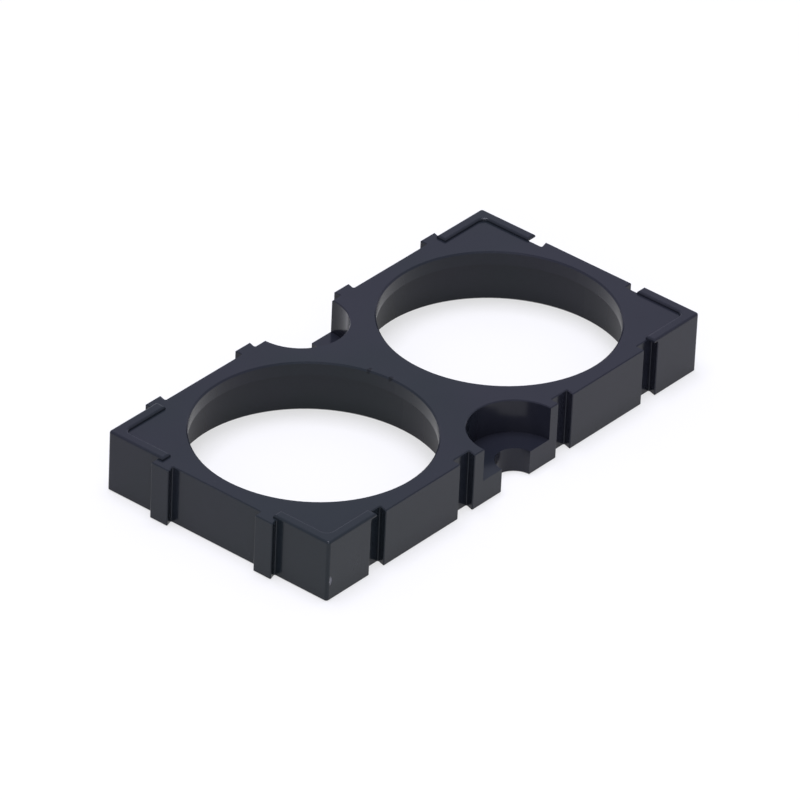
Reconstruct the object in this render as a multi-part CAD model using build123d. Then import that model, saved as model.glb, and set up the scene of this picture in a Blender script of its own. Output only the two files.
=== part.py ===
from build123d import *
import os

# Battery cell holder bracket for two cylindrical cells side by side, moulded in one piece.
# The cells stand along Z. Each is pushed up into its seat from the flat underside (z = 0) and
# stops against a thin lip at the top, whose round opening leaves the cell's end bare.
# Brackets lock together edge to edge: rails on one long and one short side slide along Z into
# the slots of the next bracket. The origin is midway between the cells, on the underside.

# Driving dimensions, in millimetres
CELL_DIAMETER = 32.4        # cell that the bracket holds
CELL_FIT = 0.2              # radial clearance around the cell
CELL_COUNT = 2              # cells in the row, along X
SEAT_WALL = 0.6             # thinnest wall, between a seat and the side of the bracket
BODY_HEIGHT = 7.8           # underside to top face
LIP_THICKNESS = 1.8         # stop above each seat
LIP_REACH = 1.65            # how far the lip stands in over the cell's end
LIP_CHAMFER = 0.2           # edge break around the lip's opening
SEAT_CHAMFER = 0.2          # lead-in at the mouth of each seat
CORNER_RADIUS = 0.4         # upright corners of the body
EDGE_BREAK = 0.12           # rounding of other upright edges, chamfer of lower and upper ones

RAIL_OFFSET = 8.0           # rail and slot centres, either side of each cell's axis
RAIL_WIDTH = 2.7            # across a rail's tip
RAIL_DEPTH = 1.05           # how far a rail stands out
RAIL_UNDERCUT = 0.32        # how far a rail's tip overhangs its root, on the locking side
RAIL_FIT = 0.1              # clearance of a rail in its slot, on each face

BOLT_DIAMETER = 5.0         # fastener that clamps the bracket down, one in each long side
BOLT_CLEARANCE = 0.1        # radial clearance around its shank
BOLT_HEAD_DIAMETER = 11.6   # head or washer that drops into the pocket
BOLT_HEAD_CLEARANCE = 0.3   # radial clearance around the head
WEB_THICKNESS = 3.3         # floor left under the bolt's head

RIM_HEIGHT = 0.4            # corner rims above the top face
RIM_WIDTH = 1.4             # their width
RIM_LENGTH = 8.5            # length of each arm, from the corner
RIM_INNER_RADIUS = 0.9      # inner corner between a rim's two arms
RIM_EDGE_RADIUS = 0.3       # upper edges of the rims

# Sizes that follow
SEAT_RADIUS = CELL_DIAMETER / 2 + CELL_FIT
LIP_RADIUS = SEAT_RADIUS - LIP_REACH
SEAT_DEPTH = BODY_HEIGHT - LIP_THICKNESS
CELL_PITCH = 2 * (SEAT_RADIUS + SEAT_WALL)
BODY_LENGTH = CELL_COUNT * CELL_PITCH
BODY_WIDTH = CELL_PITCH
BOLT_RADIUS = BOLT_DIAMETER / 2 + BOLT_CLEARANCE
POCKET_RADIUS = BOLT_HEAD_DIAMETER / 2 + BOLT_HEAD_CLEARANCE
CELL_X = [(i - (CELL_COUNT - 1) / 2) * CELL_PITCH for i in range(CELL_COUNT)]
BOLT_X = [(a + b) / 2 for a, b in zip(CELL_X, CELL_X[1:])]
MARGIN = 1.0                # how far a cutting tool runs past the faces it cuts
BITE = 0.3                  # how far a rail or rim is set into what carries it

# A rail on a long side points along +Y and locks towards +X; one on a short side points along
# -X and locks towards -Y. A slot is the space of the next bracket's rail, so it has the same
# directions and stands on the opposite side.
LONG_OUT = Vector(0, 1, 0)
LONG_LOCK = Vector(1, 0, 0)
SHORT_OUT = Vector(-1, 0, 0)
SHORT_LOCK = Vector(0, -1, 0)


def outline(inset=0.0, radius=CORNER_RADIUS):
    """Plan of the body, its corners rounded.

    Args:
        inset: how far the plan is drawn in from the body's sides.
        radius: of its four corners.

    Returns:
        A face at z = 0.
    """
    return RectangleRounded(BODY_LENGTH - 2 * inset, BODY_WIDTH - 2 * inset, radius)


def stepped_space(lower_radius, upper_radius, step, lower_break, upper_break):
    """Space turned about Z, through the body's height, with an edge break at each end.

    Args:
        lower_radius: radius below the step.
        upper_radius: radius above it.
        step: height of the step.
        lower_break: chamfer at the underside.
        upper_break: chamfer at the top face.

    Returns:
        A solid that runs past both faces.
    """
    section = Polyline(
        (0, 0, -MARGIN),
        (lower_radius + lower_break + MARGIN, 0, -MARGIN),
        (lower_radius, 0, lower_break),
        (lower_radius, 0, step),
        (upper_radius, 0, step),
        (upper_radius, 0, BODY_HEIGHT - upper_break),
        (upper_radius + upper_break + MARGIN, 0, BODY_HEIGHT + MARGIN),
        (0, 0, BODY_HEIGHT + MARGIN),
        close=True,
    )
    return revolve(make_face(section), Axis.Z)


def cell_spaces():
    """A seat for each cell, open at the underside, and the smaller opening through its lip."""
    space = stepped_space(SEAT_RADIUS, LIP_RADIUS, SEAT_DEPTH, SEAT_CHAMFER, LIP_CHAMFER)
    return [Pos(x, 0, 0) * space for x in CELL_X]


def bolt_spaces():
    """A bolt's shank through the web, half in each long side, and its head above the web."""
    space = stepped_space(BOLT_RADIUS, POCKET_RADIUS, WEB_THICKNESS, EDGE_BREAK, EDGE_BREAK)
    return [Pos(x, side * BODY_WIDTH / 2, 0) * space for x in BOLT_X for side in (-1, 1)]


def rail(root, out, lock, fit=0.0, bottom=0.0):
    """Upright locking rail up to the top face, or the space for one.

    Args:
        root: middle of the rail's root, on the side wall.
        out: unit vector that the rail points along.
        lock: unit vector along the wall, towards the flank that overhangs the root.
        fit: clearance added to every face, for the space that takes a rail.
        bottom: height of its lower end.

    Returns:
        A prism that reaches BITE behind the root.
    """
    half = RAIL_WIDTH / 2 + fit
    neck = half - RAIL_UNDERCUT
    tip = RAIL_DEPTH + fit
    section = Polyline(
        root - lock * half - out * BITE,
        root - lock * half + out * tip,
        root + lock * half + out * tip,
        root + lock * neck,
        root + lock * neck - out * BITE,
        close=True,
    )
    return Pos(0, 0, bottom) * extrude(make_face(section), BODY_HEIGHT - bottom, dir=(0, 0, 1))


def rails():
    """Rails along the +Y side, two to a cell, and on the -X side."""
    long_roots = [
        Vector(x + offset, BODY_WIDTH / 2, 0) for x in CELL_X for offset in (-RAIL_OFFSET, RAIL_OFFSET)
    ]
    short_roots = [Vector(-BODY_LENGTH / 2, offset, 0) for offset in (-RAIL_OFFSET, RAIL_OFFSET)]
    long_rails = [rail(root, LONG_OUT, LONG_LOCK) for root in long_roots]
    return long_rails + [rail(root, SHORT_OUT, SHORT_LOCK) for root in short_roots]


def slots():
    """Spaces along the -Y side and on the +X side, where the next brackets' rails slide in."""
    long_roots = [
        Vector(x + offset, -BODY_WIDTH / 2, 0) for x in CELL_X for offset in (-RAIL_OFFSET, RAIL_OFFSET)
    ]
    short_roots = [Vector(BODY_LENGTH / 2, offset, 0) for offset in (-RAIL_OFFSET, RAIL_OFFSET)]
    long_slots = [rail(root, LONG_OUT, LONG_LOCK, RAIL_FIT, -MARGIN) for root in long_roots]
    return long_slots + [rail(root, SHORT_OUT, SHORT_LOCK, RAIL_FIT, -MARGIN) for root in short_roots]


def corner_rims():
    """L-shaped rims on the four corners of the top face, flush with the sides.

    Where an arm ends over a slot it bridges the slot's mouth, as a stop for the rail below it.
    """
    frame = outline() - outline(RIM_WIDTH, RIM_INNER_RADIUS)
    reach_x = (BODY_LENGTH - RIM_LENGTH) / 2
    reach_y = (BODY_WIDTH - RIM_LENGTH) / 2
    corner = Rectangle(RIM_LENGTH, RIM_LENGTH)
    arms = [frame & (Pos(sx * reach_x, sy * reach_y) * corner) for sx in (-1, 1) for sy in (-1, 1)]
    blanks = [Pos(0, 0, BODY_HEIGHT - BITE) * extrude(arm, RIM_HEIGHT + BITE) for arm in arms]
    rims = [fillet(blank.edges().group_by(Axis.Z)[-1], RIM_EDGE_RADIUS) for blank in blanks]
    return [rim - slots() for rim in rims]


def sharp_uprights(solid):
    """Upright edges of a solid, apart from the seams where its rounded corners begin."""
    limit_x = BODY_LENGTH / 2 - CORNER_RADIUS - EDGE_BREAK
    limit_y = BODY_WIDTH / 2 - CORNER_RADIUS - EDGE_BREAK
    uprights = solid.edges().filter_by(Axis.Z)
    return [edge for edge in uprights if abs(edge.center().X) < limit_x or abs(edge.center().Y) < limit_y]


def eased(solid):
    """A solid with its sharp upright edges rounded and its lowest and highest edges chamfered."""
    solid = fillet(sharp_uprights(solid), EDGE_BREAK)
    levels = solid.edges().group_by(Axis.Z)
    return chamfer(levels[0] + levels[-1], EDGE_BREAK)


def bracket():
    """The whole moulding: body, rails and slots with eased edges, then rims and round spaces."""
    body = extrude(outline(), BODY_HEIGHT) + rails() - slots()
    solid = eased(body) + corner_rims()
    return solid - cell_spaces() - bolt_spaces()


os.makedirs("parts", exist_ok=True)
export_step(bracket(), "parts/cell_holder_bracket.step")
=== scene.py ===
import logging
import math
from dataclasses import dataclass, field
from enum import Enum
from typing import Any

import bpy
from mathutils import Matrix, Vector


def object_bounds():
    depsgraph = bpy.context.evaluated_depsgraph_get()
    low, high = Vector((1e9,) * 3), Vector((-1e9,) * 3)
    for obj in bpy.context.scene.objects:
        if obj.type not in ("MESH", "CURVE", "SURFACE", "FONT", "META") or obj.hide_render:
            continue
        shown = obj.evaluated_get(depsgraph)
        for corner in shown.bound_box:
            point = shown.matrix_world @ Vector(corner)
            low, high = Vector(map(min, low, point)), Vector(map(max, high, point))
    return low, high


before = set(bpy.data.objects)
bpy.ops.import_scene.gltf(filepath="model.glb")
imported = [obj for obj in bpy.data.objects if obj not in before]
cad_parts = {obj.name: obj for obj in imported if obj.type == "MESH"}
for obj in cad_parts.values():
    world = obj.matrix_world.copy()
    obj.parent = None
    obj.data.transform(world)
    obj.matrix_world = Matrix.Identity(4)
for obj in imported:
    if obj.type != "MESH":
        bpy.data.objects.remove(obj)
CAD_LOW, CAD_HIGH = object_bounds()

logging.basicConfig(level=logging.INFO, format="%(message)s")
LOG = logging.getLogger("cell_holder_bracket")

MM = 0.001
NODE = "cell_holder_bracket"
NOISE_MIDDLE = 0.5
BACKGROUND_RAYS = ("Is Camera Ray", "Is Glossy Ray", "Is Transmission Ray")

Colour = tuple[float, float, float]
Place = tuple[float, float, float]
Span = tuple[float, float]


class Blend(Enum):
    """How one colour is laid over another."""

    COVER = "MIX"
    TINT = "MULTIPLY"


@dataclass(frozen=True)
class Pattern:
    """A soft random pattern: width of its patches, number of finer layers and their strength."""

    size: float
    detail: float
    rough: float


class Signal:
    """A shader socket that can be used in a Python expression."""

    def __init__(self, paint: "Paint", socket: bpy.types.NodeSocket | None) -> None:
        """Wraps a node's output socket.

        Args:
            paint: the material that the socket belongs to.
            socket: the output socket, or None where the node has none.
        """
        self.paint = paint
        self.socket = socket

    def _math(self, operation: str, *values: Any) -> "Signal":
        """Adds a Math node.

        Args:
            operation: the node's operation.
            *values: its inputs, as signals or numbers.

        Returns:
            The node's result.
        """
        return self.paint.node("ShaderNodeMath", {"operation": operation}, dict(enumerate(values)))

    def __add__(self, other: Any) -> "Signal":
        """Self plus other."""
        return self._math("ADD", self, other)

    def __radd__(self, other: Any) -> "Signal":
        """Other plus self."""
        return self._math("ADD", other, self)

    def __sub__(self, other: Any) -> "Signal":
        """Self minus other."""
        return self._math("SUBTRACT", self, other)

    def __rsub__(self, other: Any) -> "Signal":
        """Other minus self."""
        return self._math("SUBTRACT", other, self)

    def __mul__(self, other: Any) -> "Signal":
        """Self times other."""
        return self._math("MULTIPLY", self, other)

    def __rmul__(self, other: Any) -> "Signal":
        """Other times self."""
        return self._math("MULTIPLY", other, self)

    def __abs__(self) -> "Signal":
        """Self without its sign."""
        return self._math("ABSOLUTE", self)

    def root(self) -> "Signal":
        """Square root of self."""
        return self._math("SQRT", self)

    def below(self, limit: Any) -> "Signal":
        """One where self is under a limit, else zero."""
        return self._math("LESS_THAN", self, limit)


class Paint:
    """A material's node tree, built one call at a time."""

    def __init__(self, tree: bpy.types.NodeTree) -> None:
        """Empties a node tree.

        Args:
            tree: the tree of a material or a world.
        """
        self.tree = tree
        self.tree.nodes.clear()

    def node(
        self,
        kind: str,
        settings: dict[str, Any] | None = None,
        inputs: dict[Any, Any] | None = None,
        output: Any = 0,
    ) -> Signal:
        """Adds a node of any type.

        Args:
            kind: the node's type.
            settings: its properties, or its ramp's stops under "stops", set before its inputs.
            inputs: values or signals, by the socket's name or number.
            output: the name or number of the socket that is returned.

        Returns:
            The chosen output.
        """
        made = self.tree.nodes.new(kind)
        for name, value in (settings or {}).items():
            if name == "stops":
                self._stops(made.color_ramp, value)
            else:
                setattr(made, name, value)
        for name, value in (inputs or {}).items():
            if isinstance(value, Signal):
                self.tree.links.new(value.socket, made.inputs[name])
            else:
                made.inputs[name].default_value = value
        return Signal(self, made.outputs[output] if len(made.outputs) else None)

    @staticmethod
    def _stops(ramp: bpy.types.ColorRamp, stops: list[Span]) -> None:
        """Sets a grey ramp's stops.

        Args:
            ramp: the ramp.
            stops: position and brightness of each stop, two or more, in order.
        """
        while len(ramp.elements) < len(stops):
            ramp.elements.new(1.0)
        for element, (position, grey) in zip(ramp.elements, stops):
            element.position = position
            element.color = (grey, grey, grey, 1.0)

    def place(self) -> Signal:
        """Position on the piece, in metres, from Object coordinates."""
        return self.node("ShaderNodeTexCoord", output="Object")

    def noise(self, pattern: Pattern, place: Signal | None = None) -> Signal:
        """Soft random pattern.

        Args:
            pattern: its size and layers.
            place: coordinates, or None for the piece's own.

        Returns:
            Values about one half.
        """
        return self.node(
            "ShaderNodeTexNoise",
            inputs={
                "Vector": place or self.place(),
                "Scale": 1 / pattern.size,
                "Detail": pattern.detail,
                "Roughness": pattern.rough,
            },
        )

    def vector(self, operation: str, *values: Any, output: Any = 0) -> Signal:
        """Adds a Vector Math node.

        Args:
            operation: the node's operation.
            *values: its inputs, as signals or threes of numbers.
            output: the name or number of the socket that is returned.

        Returns:
            The chosen output.
        """
        return self.node(
            "ShaderNodeVectorMath",
            {"operation": operation},
            dict(enumerate(values)),
            output=output,
        )

    def axis(self, place: Signal, name: str) -> Signal:
        """One coordinate of a place, by its letter."""
        return self.node("ShaderNodeSeparateXYZ", inputs={0: place}, output=name)

    def bump(self, height: Signal, distance: float, under: Signal | None = None) -> Signal:
        """Raises the surface by a pattern.

        Args:
            height: the pattern, from zero to one.
            distance: how far one of it stands up, in metres.
            under: the normal that it goes over, or None for the plain surface.

        Returns:
            The new normal.
        """
        inputs = {"Height": height, "Distance": distance, "Strength": 1.0}
        if under is not None:
            inputs["Normal"] = under
        return self.node("ShaderNodeBump", inputs=inputs)

    def ramp(self, value: Signal, stops: list[Span]) -> Signal:
        """Grey ramp over a value, by the position and brightness of its stops."""
        return self.node("ShaderNodeValToRGB", {"stops": stops}, {"Fac": value})

    def rise(self, value: Signal, span: Span) -> Signal:
        """Zero up to the span's start, and one from its end on."""
        return self.ramp(value, [(span[0], 0.0), (span[1], 1.0)])

    def mix(self, factor: Signal, low: Any, high: Any, blend: Blend = Blend.COVER) -> Signal:
        """Lays one colour over another.

        Args:
            factor: how much of the second colour shows.
            low: first colour, as a signal or three numbers.
            high: second colour, likewise.
            blend: how they combine.

        Returns:
            The colour.
        """
        first, second = (
            colour if isinstance(colour, Signal) else (*colour, 1.0) for colour in (low, high)
        )
        return self.node(
            "ShaderNodeMix",
            {"data_type": "RGBA", "blend_type": blend.value},
            {0: factor, 6: first, 7: second},
            output=2,
        )

    def background_rays(self) -> Signal:
        """One for rays that show the background: seen straight, mirrored or through glass.

        Returns:
            The factor.
        """
        straight, mirrored, through = (
            self.node("ShaderNodeLightPath", output=ray) for ray in BACKGROUND_RAYS
        )
        return straight + mirrored + through

    def link_out(self, kind: str, shader: Signal) -> None:
        """Ends the tree in an output node of a type, which shows a shader."""
        self.node(kind, inputs={"Surface": shader})


@dataclass(frozen=True)
class Mark:
    """One small flaw in the moulding, such as a nick or a pit, with a colour laid over it; the
    corner nick's pale colour is a painted highlight.
    """

    place: Place
    reach: Place
    colour: Colour
    cover: float
    depth: float
    rag: Pattern = Pattern(0.3 * MM, 2.0, 0.6)
    rag_depth: float = 0.9
    core: float = 0.55

    def mask(self, paint: Paint) -> Signal:
        """Where the mark is.

        Args:
            paint: the material that it is added to.

        Returns:
            One in its middle and zero outside it, with a ragged edge.
        """
        offset = paint.vector("SUBTRACT", paint.place(), self.place)
        spread = paint.vector("DIVIDE", offset, self.reach)
        ragged = paint.noise(self.rag) - NOISE_MIDDLE
        away = paint.vector("LENGTH", spread, output="Value") + ragged * self.rag_depth
        return paint.ramp(away, [(self.core, 1.0), (1.0, 0.0)])


# The corner nick is a real dent, made by its bump; its pale colour is a painted highlight of the
# light that the dent catches.
CORNER_NICK_WITH_HIGHLIGHT = Mark(
    place=(-33.42 * MM, -17.0 * MM, 2.70 * MM),
    reach=(0.26 * MM, 0.6 * MM, 0.60 * MM),
    # Pale colour: painted highlight on the dented corner.
    colour=(0.15, 0.15, 0.16),
    cover=0.9,
    depth=0.05 * MM,
)
PIT_COLOUR: Colour = (0.004, 0.005, 0.006)
PIT_COVER = 0.8
PIT_DEPTH = 0.03 * MM
LONG_PIT = Mark(
    place=(-2.5 * MM, 3.8 * MM, 7.8 * MM),
    reach=(0.55 * MM, 0.35 * MM, 0.5 * MM),
    colour=PIT_COLOUR,
    cover=PIT_COVER,
    depth=PIT_DEPTH,
)
ROUND_PIT = Mark(
    place=(-2.1 * MM, 0.8 * MM, 7.8 * MM),
    reach=(0.40 * MM, 0.40 * MM, 0.5 * MM),
    colour=PIT_COLOUR,
    cover=PIT_COVER,
    depth=PIT_DEPTH,
)


@dataclass(frozen=True)
class MouldedPlastic:
    """Black injection-moulded plastic with a soft shine, duller in the bores."""

    name: str = "moulded_black_plastic"
    colour: Colour = (0.0120, 0.0165, 0.0192)
    bloom_colour: Colour = (0.0138, 0.0178, 0.0212)
    bloom: Pattern = Pattern(14 * MM, 3.0, 0.5)
    bloom_span: Span = (0.38, 0.62)
    cast_colour: Colour = (1.12, 0.92, 1.08)
    cast: Pattern = Pattern(24 * MM, 2.0, 0.5)
    cast_span: Span = (0.40, 0.60)
    refraction: float = 1.5
    specular: float = 0.22
    roughness: float = 0.17
    smear: Pattern = Pattern(8.5 * MM, 4.0, 0.6)
    smear_swing: float = 0.07
    bore_roughness: float = 0.24
    bore_reach: float = 16.6 * MM
    bore_pitch: float = 34.0 * MM
    bore_top: float = 7.79 * MM
    grain: Pattern = Pattern(0.35 * MM, 2.0, 0.5)
    grain_height: float = 0.0016 * MM
    wave: Pattern = Pattern(5 * MM, 1.0, 0.4)
    wave_height: float = 0.012 * MM
    draw: Pattern = Pattern(0.8 * MM, 2.0, 0.5)
    draw_height: float = 0.0012 * MM
    draw_stretch: Place = (1.0, 1.0, 0.04)
    speck_gap: float = 6.6 * MM
    speck_reach: float = 0.035
    speck_cover: float = 0.35
    speck_colour: Colour = (0.03, 0.032, 0.04)
    marks: tuple[Mark, ...] = (CORNER_NICK_WITH_HIGHLIGHT, LONG_PIT, ROUND_PIT)

    def build(self) -> bpy.types.Material:
        """Builds the material.

        Returns:
            The material, named after the finish.
        """
        material = bpy.data.materials.new(self.name)
        material.use_nodes = True
        paint = Paint(material.node_tree)
        masks = [(mark, mark.mask(paint)) for mark in self.marks]
        shader = paint.node(
            "ShaderNodeBsdfPrincipled",
            inputs={
                "Base Color": self._colour(paint, masks),
                "Roughness": self._roughness(paint),
                "IOR": self.refraction,
                "Specular IOR Level": self.specular,
                "Normal": self._surface(paint, masks),
            },
        )
        paint.link_out("ShaderNodeOutputMaterial", shader)
        return material

    def _colour(self, paint: Paint, masks: list[tuple[Mark, Signal]]) -> Signal:
        """Near-black with faint clouds, a shifting cast, dust and the marks, the corner nick's
        pale patch being a painted highlight.

        Args:
            paint: the material.
            masks: each mark with its mask.

        Returns:
            The colour.
        """
        clouds = paint.rise(paint.noise(self.bloom), self.bloom_span)
        colour = paint.mix(clouds, self.colour, self.bloom_colour)
        drift = paint.rise(paint.noise(self.cast), self.cast_span)
        colour = paint.mix(drift, colour, self.cast_colour, Blend.TINT)
        colour = paint.mix(self._specks(paint), colour, self.speck_colour)
        # Each mark's colour is laid over; the corner nick's pale colour is a painted highlight.
        for mark, mask in masks:
            colour = paint.mix(mask * mark.cover, colour, mark.colour)
        return colour

    def _roughness(self, paint: Paint) -> Signal:
        """A soft shine in smears, and a duller finish on the walls of the bores.

        Args:
            paint: the material.

        Returns:
            The roughness.
        """
        place = paint.place()
        along = abs(paint.axis(place, "X")) - self.bore_pitch / 2
        across = paint.axis(place, "Y")
        away = (along * along + across * across).root()
        in_bore = away.below(self.bore_reach) * paint.axis(place, "Z").below(self.bore_top)
        smear = paint.noise(self.smear) - NOISE_MIDDLE
        duller = self.bore_roughness - self.roughness
        return self.roughness + smear * self.smear_swing + in_bore * duller

    def _specks(self, paint: Paint) -> Signal:
        """Sparse dust specks.

        Args:
            paint: the material.

        Returns:
            How much of the dust's colour shows.
        """
        spots = paint.node(
            "ShaderNodeTexVoronoi",
            {"feature": "F1"},
            {"Vector": paint.place(), "Scale": 1 / self.speck_gap},
            output="Distance",
        )
        return paint.ramp(spots, [(0.0, self.speck_cover), (self.speck_reach, 0.0)])

    def _surface(self, paint: Paint, masks: list[tuple[Mark, Signal]]) -> Signal:
        """Fine grain and draw lines over a moulding's faint waves, with the marks sunk in.

        Args:
            paint: the material.
            masks: each mark with its mask.

        Returns:
            The normal.
        """
        normal = paint.bump(paint.noise(self.wave), self.wave_height)
        upright = paint.vector("MULTIPLY", paint.place(), self.draw_stretch)
        normal = paint.bump(paint.noise(self.draw, upright), self.draw_height, normal)
        for mark, mask in masks:
            normal = paint.bump(1.0 - mask, mark.depth, normal)
        return paint.bump(paint.noise(self.grain), self.grain_height, normal)


@dataclass
class Bracket:
    """The moulded bracket, shown as it was packed, in its finish."""

    node: str = NODE
    finish: MouldedPlastic = field(default_factory=MouldedPlastic)

    def build(self) -> bpy.types.Object:
        """Dresses the moulding.

        Returns:
            The piece.
        """
        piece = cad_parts[self.node]
        material = self.finish.build()
        for slot in piece.material_slots:
            slot.material = material
        return piece


@dataclass
class Floor:
    """A wide flat pale floor that keeps the object's shadow, just clear of its underside."""

    name: str = "studio_floor"
    half: float = 1.5
    gap: float = 0.02 * MM
    colour: Colour = (0.83, 0.815, 0.79)
    white_share: float = 0.64

    def build(self) -> None:
        """Builds the floor and puts it in the scene."""
        half, level = self.half, -self.gap
        corners = [
            (-half, -half, level),
            (half, -half, level),
            (half, half, level),
            (-half, half, level),
        ]
        mesh = bpy.data.meshes.new(self.name)
        mesh.from_pydata(corners, [], [(0, 1, 2, 3)])
        floor = bpy.data.objects.new(self.name, mesh)
        bpy.context.scene.collection.objects.link(floor)
        mesh.materials.append(self._finish())

    def _finish(self) -> bpy.types.Material:
        """A matt floor, partly white to the rays that show the background.

        Returns:
            The material.
        """
        material = bpy.data.materials.new(self.name)
        material.use_nodes = True
        paint = Paint(material.node_tree)
        matt = paint.node("ShaderNodeBsdfDiffuse", inputs={"Color": (*self.colour, 1.0)})
        white = paint.node(
            "ShaderNodeEmission", inputs={"Color": (1.0, 1.0, 1.0, 1.0), "Strength": 1.0}
        )
        share = paint.background_rays() * self.white_share
        shown = paint.node("ShaderNodeMixShader", inputs={0: share, 1: matt, 2: white})
        paint.link_out("ShaderNodeOutputMaterial", shown)
        return material


@dataclass
class Sky:
    """A pale sky whose light is dimmer on one side, and the plain backdrop that shows."""

    name: str = "studio_sky"
    colour: Colour = (0.93, 0.96, 1.26)
    strength: float = 0.53
    bright_side: Place = (0.65, 0.53, 0.54)
    dim: float = 0.30
    dim_until: float = 0.45
    full_from: float = 0.80
    backdrop: Colour = (0.62, 0.62, 0.77)

    def build(self) -> None:
        """Builds the world."""
        world = bpy.data.worlds.new(self.name)
        world.use_nodes = True
        bpy.context.scene.world = world
        paint = Paint(world.node_tree)
        toward = paint.node("ShaderNodeTexCoord", output="Generated")
        facing = paint.vector("DOT_PRODUCT", toward, self.bright_side, output="Value")
        # The dot product runs from -1 to 1, and a ramp reads 0 to 1.
        stops = [(self.dim_until, self.dim), (self.full_from, 1.0)]
        shade = paint.ramp(facing * 0.5 + 0.5, stops)
        light = paint.node(
            "ShaderNodeBackground",
            inputs={"Color": (*self.colour, 1.0), "Strength": shade * self.strength},
        )
        seen = paint.node(
            "ShaderNodeBackground", inputs={"Color": (*self.backdrop, 1.0), "Strength": 1.0}
        )
        rays = paint.background_rays()
        shown = paint.node("ShaderNodeMixShader", inputs={0: rays, 1: light, 2: seen})
        paint.link_out("ShaderNodeOutputWorld", shown)


@dataclass(frozen=True)
class Lamp:
    """A square soft lamp that faces the object."""

    name: str
    place: Place
    size: float
    watts: float
    colour: Colour = (0.95, 0.96, 1.12)

    def build(self) -> None:
        """Builds the lamp and turns it to the object."""
        data = bpy.data.lights.new(self.name, "AREA")
        data.shape = "SQUARE"
        data.size = self.size
        data.energy = self.watts
        data.color = self.colour
        lamp = bpy.data.objects.new(self.name, data)
        lamp.location = self.place
        lamp.rotation_mode = "QUATERNION"
        lamp.rotation_quaternion = (-Vector(self.place)).to_track_quat("-Z", "Y")
        bpy.context.scene.collection.objects.link(lamp)


@dataclass
class Camera:
    """The camera, turned to look down on one corner of the bracket."""

    distance: float = 1066 * MM
    azimuth: float = -51.1
    elevation: float = 33.1
    roll: float = 2.65
    lens: float = 405.0
    sensor_width: float = 36.0
    near: float = 0.01
    far: float = 10.0

    def build(self) -> None:
        """Builds the camera and makes it the scene's own."""
        turn, rise = math.radians(self.azimuth), math.radians(self.elevation)
        back = Vector(
            (math.sin(turn) * math.cos(rise), -math.cos(turn) * math.cos(rise), math.sin(rise))
        )
        data = bpy.data.cameras.new("camera")
        data.lens = self.lens
        data.sensor_width = self.sensor_width
        data.clip_start, data.clip_end = self.near, self.far
        camera = bpy.data.objects.new("camera", data)
        camera.location = (CAD_LOW + CAD_HIGH) / 2 + back * self.distance
        facing = (-back).to_track_quat("-Z", "Y").to_matrix()
        spin = Matrix.Rotation(math.radians(self.roll), 3, "Z")
        camera.rotation_mode = "QUATERNION"
        camera.rotation_quaternion = (facing @ spin).to_quaternion()
        bpy.context.scene.collection.objects.link(camera)
        bpy.context.scene.camera = camera


@dataclass
class Studio:
    """Pale floor, sky, soft lamps and the camera."""

    floor: Floor = field(default_factory=Floor)
    sky: Sky = field(default_factory=Sky)
    lamps: tuple[Lamp, ...] = (
        Lamp("key_lamp", place=(-0.02, 0.05, 0.95), size=0.5, watts=8.0),
        Lamp("fill_lamp", place=(-0.60, -0.45, 0.40), size=0.7, watts=2.6),
    )
    camera: Camera = field(default_factory=Camera)

    def build(self) -> None:
        """Builds the stage round the object."""
        self.floor.build()
        self.sky.build()
        for lamp in self.lamps:
            lamp.build()
        self.camera.build()
        bpy.context.scene.view_settings.view_transform = "Standard"


def main() -> None:
    """Builds the bracket and the studio, and reports each."""
    piece = Bracket().build()
    LOG.info("%s: %d faces", piece.name, len(piece.data.polygons))
    Studio().build()
    LOG.info("studio: floor, sky, lamps and camera")


if __name__ == "__main__":
    main()
